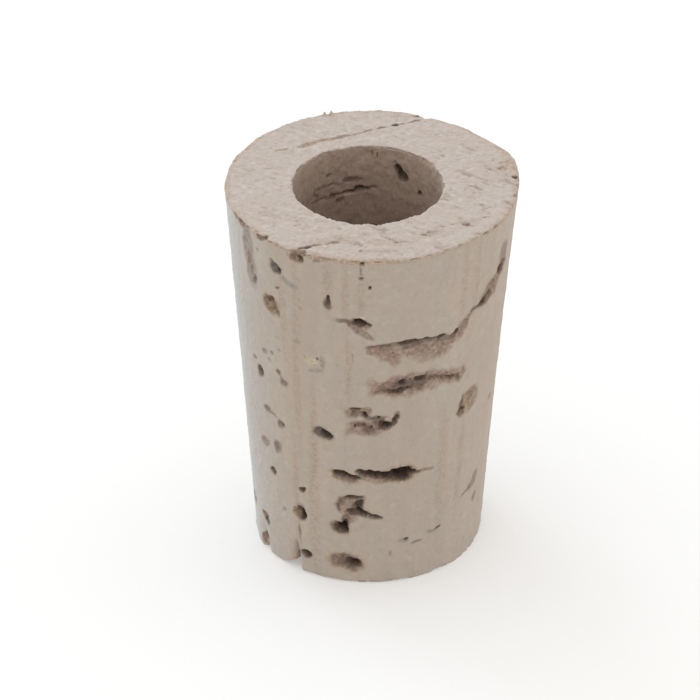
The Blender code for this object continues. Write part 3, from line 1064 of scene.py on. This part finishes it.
def skin_object(skin, name):
    """Turns the grid into one closed mesh in metres. Its attributes are the stain, and the share of each
    point that is wall under the painted cool rim light, top face and bore."""
    rows, columns = skin.base.shape[:2]
    points = (skin.base + skin.shift) * MM
    points[..., 2] = np.maximum(points[..., 2], 0)
    index = np.arange(rows * columns).reshape(rows, columns)
    right = np.roll(index, -1, axis=1)
    above = np.roll(index, -1, axis=0)
    above_right = np.roll(right, -1, axis=0)
    quads = np.stack([index, right, above_right, above], axis=-1).reshape(-1, 4)
    mesh = bpy.data.meshes.new(name)
    mesh.vertices.add(rows * columns)
    mesh.vertices.foreach_set("co", points.ravel())
    mesh.loops.add(quads.size)
    mesh.loops.foreach_set("vertex_index", quads.ravel())
    mesh.polygons.add(len(quads))
    mesh.polygons.foreach_set("loop_start", np.arange(0, quads.size, 4))
    mesh.update(calc_edges=True)
    mesh.polygons.foreach_set("use_smooth", np.ones(len(quads), bool))
    stain = mesh.color_attributes.new("stain", "FLOAT_COLOR", "POINT")
    stain.data.foreach_set("color", skin.stain.astype(np.float32).ravel())
    parts = mesh.color_attributes.new("parts", "FLOAT_COLOR", "POINT")
    # red is the share under the painted cool rim light, green the top face, blue the bore
    share = np.stack([skin.painted_rim_light, skin.on_top, skin.on_bore, np.ones_like(skin.on_top)], axis=-1)
    parts.data.foreach_set("color", share.astype(np.float32).ravel())
    mesh.update()
    piece = bpy.data.objects.new(name, mesh)
    bpy.context.scene.collection.objects.link(piece)
    return piece


# ----------------------------------------------------------------------
# Materials


class Graph:
    """Short ways to add and join the nodes of one material."""

    def __init__(self, name):
        self.material = bpy.data.materials.new(name)
        self.material.use_nodes = True
        self.tree = self.material.node_tree
        self.shader = self.tree.nodes["Principled BSDF"]
        here = self.add("ShaderNodeTexCoord")
        scaled = self.add("ShaderNodeVectorMath", operation="SCALE")
        scaled.inputs["Scale"].default_value = 1 / MM
        self.join(here.outputs["Object"], scaled.inputs[0])
        self.place = scaled.outputs[0]

    def add(self, kind, **settings):
        node = self.tree.nodes.new(kind)
        for key, value in settings.items():
            setattr(node, key, value)
        return node

    def join(self, source, target):
        self.tree.links.new(source, target)

    def noise(self, cell, detail, rough=0.55, stretch=None, turn=0.0, seed=0.0):
        """Noise whose features are about one cell wide, in mm. It may be stretched, turned about Z
        and, with a seed, taken from another place."""
        source = self.place
        if stretch is not None:
            mapping = self.add("ShaderNodeMapping", vector_type="TEXTURE")
            mapping.inputs["Rotation"].default_value = (0, 0, math.radians(turn))
            mapping.inputs["Scale"].default_value = stretch
            mapping.inputs["Location"].default_value = (seed, seed, seed)
            self.join(source, mapping.inputs["Vector"])
            source = mapping.outputs[0]
        node = self.add("ShaderNodeTexNoise")
        node.inputs["Scale"].default_value = 1 / cell
        node.inputs["Detail"].default_value = detail
        node.inputs["Roughness"].default_value = rough
        self.join(source, node.inputs["Vector"])
        return node.outputs["Fac"]

    def span(self, source, low, high, to_low=0.0, to_high=1.0):
        """Maps the range from low to high onto another range, and clamps it."""
        node = self.add("ShaderNodeMapRange", interpolation_type="SMOOTHSTEP")
        ends = {"From Min": low, "From Max": high, "To Min": to_low, "To Max": to_high}
        for key, value in ends.items():
            node.inputs[key].default_value = value
        self.join(source, node.inputs["Value"])
        return node.outputs[0]

    def maths(self, operation, first, second):
        node = self.add("ShaderNodeMath", operation=operation)
        for socket, value in zip(node.inputs, (first, second)):
            self.plug(value, socket)
        return node.outputs[0]

    def mix(self, share, first, second):
        """The first colour, with this share of the second. Sockets 6 and 7 are the node's colours."""
        node = self.add("ShaderNodeMix", data_type="RGBA")
        self.plug(share, node.inputs["Factor"])
        self.plug(first, node.inputs[6])
        self.plug(second, node.inputs[7])
        return node.outputs[2]

    def plug(self, value, socket):
        """Links a socket, or sets a colour or a number."""
        if isinstance(value, bpy.types.NodeSocket):
            self.join(value, socket)
        elif isinstance(value, tuple):
            socket.default_value = (*value, 1.0)
        else:
            socket.default_value = value


# Linear RGB of each face's cork, then of its darker and paler patches.
WALL_CORK = (0.446, 0.374, 0.310)
WALL_GREY = (0.420, 0.358, 0.300)
WALL_DEEP = (0.330, 0.250, 0.188)
WALL_PALE = (0.520, 0.455, 0.395)
WALL_PINK = (0.422, 0.334, 0.266)  # the year bands
# painted cool rim light: the cool pale grey laid over the left side of the wall
WALL_PAINTED_RIM_LIGHT = (0.455, 0.445, 0.436)
# The top face is painted paler and pinker than the wall: partly the fresh cut's own colour, and partly
# painted light from overhead.
TOP_CORK_WITH_PAINTED_LIGHT = (0.464, 0.393, 0.343)
TOP_DEEP_WITH_PAINTED_LIGHT = (0.350, 0.278, 0.225)
TOP_PALE_WITH_PAINTED_LIGHT = (0.545, 0.485, 0.440)
# The bore's cork is painted darker and browner than the wall: painted shade inside the bore.
BORE_CORK_PAINTED_SHADE = (0.410, 0.306, 0.242)
BORE_DEEP_PAINTED_SHADE = (0.280, 0.195, 0.135)
BORE_PALE_PAINTED_SHADE = (0.490, 0.380, 0.300)


def mottle(graph, base, deep, pale, size, seed, strength):
    """Cork seen close: a base colour with darker and paler patches of about this size."""
    dark = graph.noise(size, 4, rough=0.65, stretch=(1, 1, 1), seed=seed)
    light = graph.noise(1.3 * size, 4, rough=0.6, stretch=(1, 1, 1), seed=seed + 5)
    dark = graph.maths("MULTIPLY", graph.span(dark, 0.50, 0.76), strength)
    light = graph.maths("MULTIPLY", graph.span(light, 0.50, 0.74), strength)
    return graph.mix(light, graph.mix(dark, base, deep), pale)


def wall_colour(graph, painted_rim_light):
    """Grey and warm patches, finer mottling, faint pink year bands across the grain, and a cool pale grey
    painted over the left side as painted cool rim light.
    """
    patches = graph.noise(1.5, 4, rough=0.6, stretch=(1, 1, 2.6), seed=1.7)
    wall = graph.mix(graph.span(patches, 0.36, 0.64), WALL_CORK, WALL_GREY)
    wall = mottle(graph, wall, WALL_DEEP, WALL_PALE, size=0.45, seed=7.3, strength=0.38)
    bands = graph.noise(1.1, 2, rough=0.5, stretch=(1.0, 9.0, 22.0), turn=GRAIN_ANGLE, seed=3.1)
    bands = graph.maths("MULTIPLY", graph.span(bands, 0.48, 0.68), 0.42)
    # painted cool rim light over the left side of the wall
    return graph.mix(painted_rim_light, graph.mix(bands, wall, WALL_PINK), WALL_PAINTED_RIM_LIGHT)


def stained(graph, colour):
    """Lays the grid's stain, made gritty, over the cork's own colour."""
    stain = graph.add("ShaderNodeAttribute", attribute_name="stain")
    kept = graph.mix(stain.outputs["Alpha"], colour, (0.0, 0.0, 0.0))
    gritty = graph.add("ShaderNodeVectorMath", operation="SCALE")
    graph.join(stain.outputs["Color"], gritty.inputs[0])
    graph.join(graph.span(graph.noise(0.24, 4, rough=0.7), 0.32, 0.70, 0.66, 1.30), gritty.inputs["Scale"])
    total = graph.add("ShaderNodeVectorMath", operation="ADD")
    graph.join(kept, total.inputs[0])
    graph.join(gritty.outputs[0], total.inputs[1])
    return total.outputs[0]


def add_grain(graph):
    """The finest unevenness of the cork, which is too small for the grid."""
    grain = graph.maths("ADD", graph.noise(0.10, 3, rough=0.7), graph.noise(0.28, 2, rough=0.6))
    bump = graph.add("ShaderNodeBump")
    bump.inputs["Strength"].default_value = 0.35
    bump.inputs["Distance"].default_value = 0.05 * MM
    graph.join(grain, bump.inputs["Height"])
    graph.join(bump.outputs["Normal"], graph.shader.inputs["Normal"])


def cork_material():
    """Cork: a mottled wall with painted cool rim light on its left side, a cut top face painted paler,
    partly its own fresher colour and partly painted light, a bore painted darker and browner as painted
    shade, and the grid's stains on top.
    """
    graph = Graph("natural_cork")
    parts = graph.add("ShaderNodeAttribute", attribute_name="parts")
    part = graph.add("ShaderNodeSeparateColor")
    graph.join(parts.outputs["Color"], part.inputs["Color"])
    wall = wall_colour(graph, part.outputs["Red"])
    # the top face's colours hold painted light from overhead as well as the cut's own paler colour
    top = mottle(graph, TOP_CORK_WITH_PAINTED_LIGHT, TOP_DEEP_WITH_PAINTED_LIGHT, TOP_PALE_WITH_PAINTED_LIGHT, size=0.40, seed=11.9, strength=0.80)
    # painted shade: the bore's darker, browner colours
    bore = mottle(graph, BORE_CORK_PAINTED_SHADE, BORE_DEEP_PAINTED_SHADE, BORE_PALE_PAINTED_SHADE, size=0.50, seed=17.1, strength=0.75)
    colour = graph.mix(part.outputs["Green"], wall, top)
    colour = graph.mix(part.outputs["Blue"], colour, bore)
    graph.join(stained(graph, colour), graph.shader.inputs["Base Color"])
    rough = graph.span(graph.noise(0.5, 3), 0.3, 0.7, 0.80, 0.95)
    graph.join(rough, graph.shader.inputs["Roughness"])
    graph.shader.inputs["Specular IOR Level"].default_value = 0.12
    graph.shader.inputs["Sheen Weight"].default_value = 0.06
    add_grain(graph)
    return graph.material


# ----------------------------------------------------------------------
# Stage, lights and camera

FLOOR_HALF = 900.0
FLOOR_GAP = 0.01  # keeps the sheet out of the plane of the narrow end
FLOOR_COLOUR = (0.62, 0.606, 0.586)
FLOOR_GLOW = 0.28  # the sheet is lit from below too, like a light table
FLOOR_GLOW_COLOUR = (1.0, 0.99, 0.98)
FLOOR_ROUGHNESS = 0.9


def add_floor():
    """A flat, pale sheet that the cork stands on."""
    mesh = bpy.data.meshes.new("floor")
    half = FLOOR_HALF * MM
    low = -FLOOR_GAP * MM
    corners = [(-half, -half, low), (half, -half, low), (half, half, low), (-half, half, low)]
    mesh.from_pydata(corners, [], [(0, 1, 2, 3)])
    floor = bpy.data.objects.new("floor", mesh)
    bpy.context.scene.collection.objects.link(floor)
    material = bpy.data.materials.new("pale_floor")
    material.use_nodes = True
    shader = material.node_tree.nodes["Principled BSDF"]
    shader.inputs["Base Color"].default_value = (*FLOOR_COLOUR, 1.0)
    shader.inputs["Emission Color"].default_value = (*FLOOR_GLOW_COLOUR, 1.0)
    shader.inputs["Emission Strength"].default_value = FLOOR_GLOW
    shader.inputs["Roughness"].default_value = FLOOR_ROUGHNESS
    shader.inputs["Specular IOR Level"].default_value = 0.0
    mesh.materials.append(material)


def add_softbox(name, place, size, power, colour=(1.0, 1.0, 1.0)):
    """A square area light that faces the cork's middle."""
    light = bpy.data.lights.new(name, "AREA")
    light.shape = "SQUARE"
    light.size = size * MM
    light.energy = power
    light.color = colour
    item = bpy.data.objects.new(name, light)
    item.location = Vector(place) * MM
    aim = Vector((0, 0, cad_height() / 2)) * MM - item.location
    item.rotation_euler = aim.to_track_quat("-Z", "Y").to_euler()
    bpy.context.scene.collection.objects.link(item)


COOL = (0.62, 0.84, 1.00)
SKY = (0.98, 0.99, 1.00)
SKY_STRENGTH = 0.92


def light_stage():
    """Even light from all around, a soft light overhead, and cooler light from the left."""
    world = bpy.data.worlds.new("studio")
    world.use_nodes = True
    background = world.node_tree.nodes["Background"]
    background.inputs["Color"].default_value = (*SKY, 1.0)
    background.inputs["Strength"].default_value = SKY_STRENGTH
    bpy.context.scene.world = world
    add_softbox("overhead", (-45, 40, 420), 420, 0.50)
    add_softbox("left_side", (-330, 90, 110), 220, 0.12, COOL)
    add_softbox("left_rim", (-250, 300, 60), 200, 1.10, COOL)
    add_softbox("right_side", (330, 60, 50), 220, 0.18)


CAMERA_ELEVATION = 32.79
CAMERA_ROLL = 0.48
CAMERA_DISTANCE = 40.0  # in radii of the wide end
CAMERA_LENS = 295.66
CAMERA_SENSOR = 36.0
CAMERA_SHIFT = (-0.0283, 0.0064)  # in widths of the picture
CAMERA_CLIP = (10.0, 10000.0)


def add_camera(sizes):
    """A long lens that looks down on the front of the cork, turned a little about its own axis."""
    lean = math.radians(CAMERA_ELEVATION)
    roll = math.radians(CAMERA_ROLL)
    ahead = Vector((0, math.cos(lean), -math.sin(lean)))
    level = Vector((1, 0, 0))
    upright = level.cross(ahead)
    right = math.cos(roll) * level + math.sin(roll) * upright
    up = right.cross(ahead)
    aim = Vector((0, 0, sizes.height / 2)) * MM
    camera = bpy.data.cameras.new("camera")
    camera.lens = CAMERA_LENS
    camera.sensor_width = CAMERA_SENSOR
    camera.shift_x, camera.shift_y = CAMERA_SHIFT
    camera.clip_start, camera.clip_end = (distance * MM for distance in CAMERA_CLIP)
    item = bpy.data.objects.new("camera", camera)
    turn = Matrix((right, up, -ahead)).transposed().to_4x4()
    place = aim - ahead * sizes.rim_radius * CAMERA_DISTANCE * MM
    item.matrix_world = Matrix.Translation(place) @ turn
    bpy.context.scene.collection.objects.link(item)
    bpy.context.scene.camera = item


def main():
    sizes = frame_sizes()
    add_camera(sizes)
    add_floor()
    light_stage()
    bpy.context.scene.view_settings.view_transform = "Standard"
    cork = skin_object(build_skin(sizes), "bored_cork")
    cork.data.materials.append(cork_material())
    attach(cork, "root")
    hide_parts(CAD_NODE)


main()
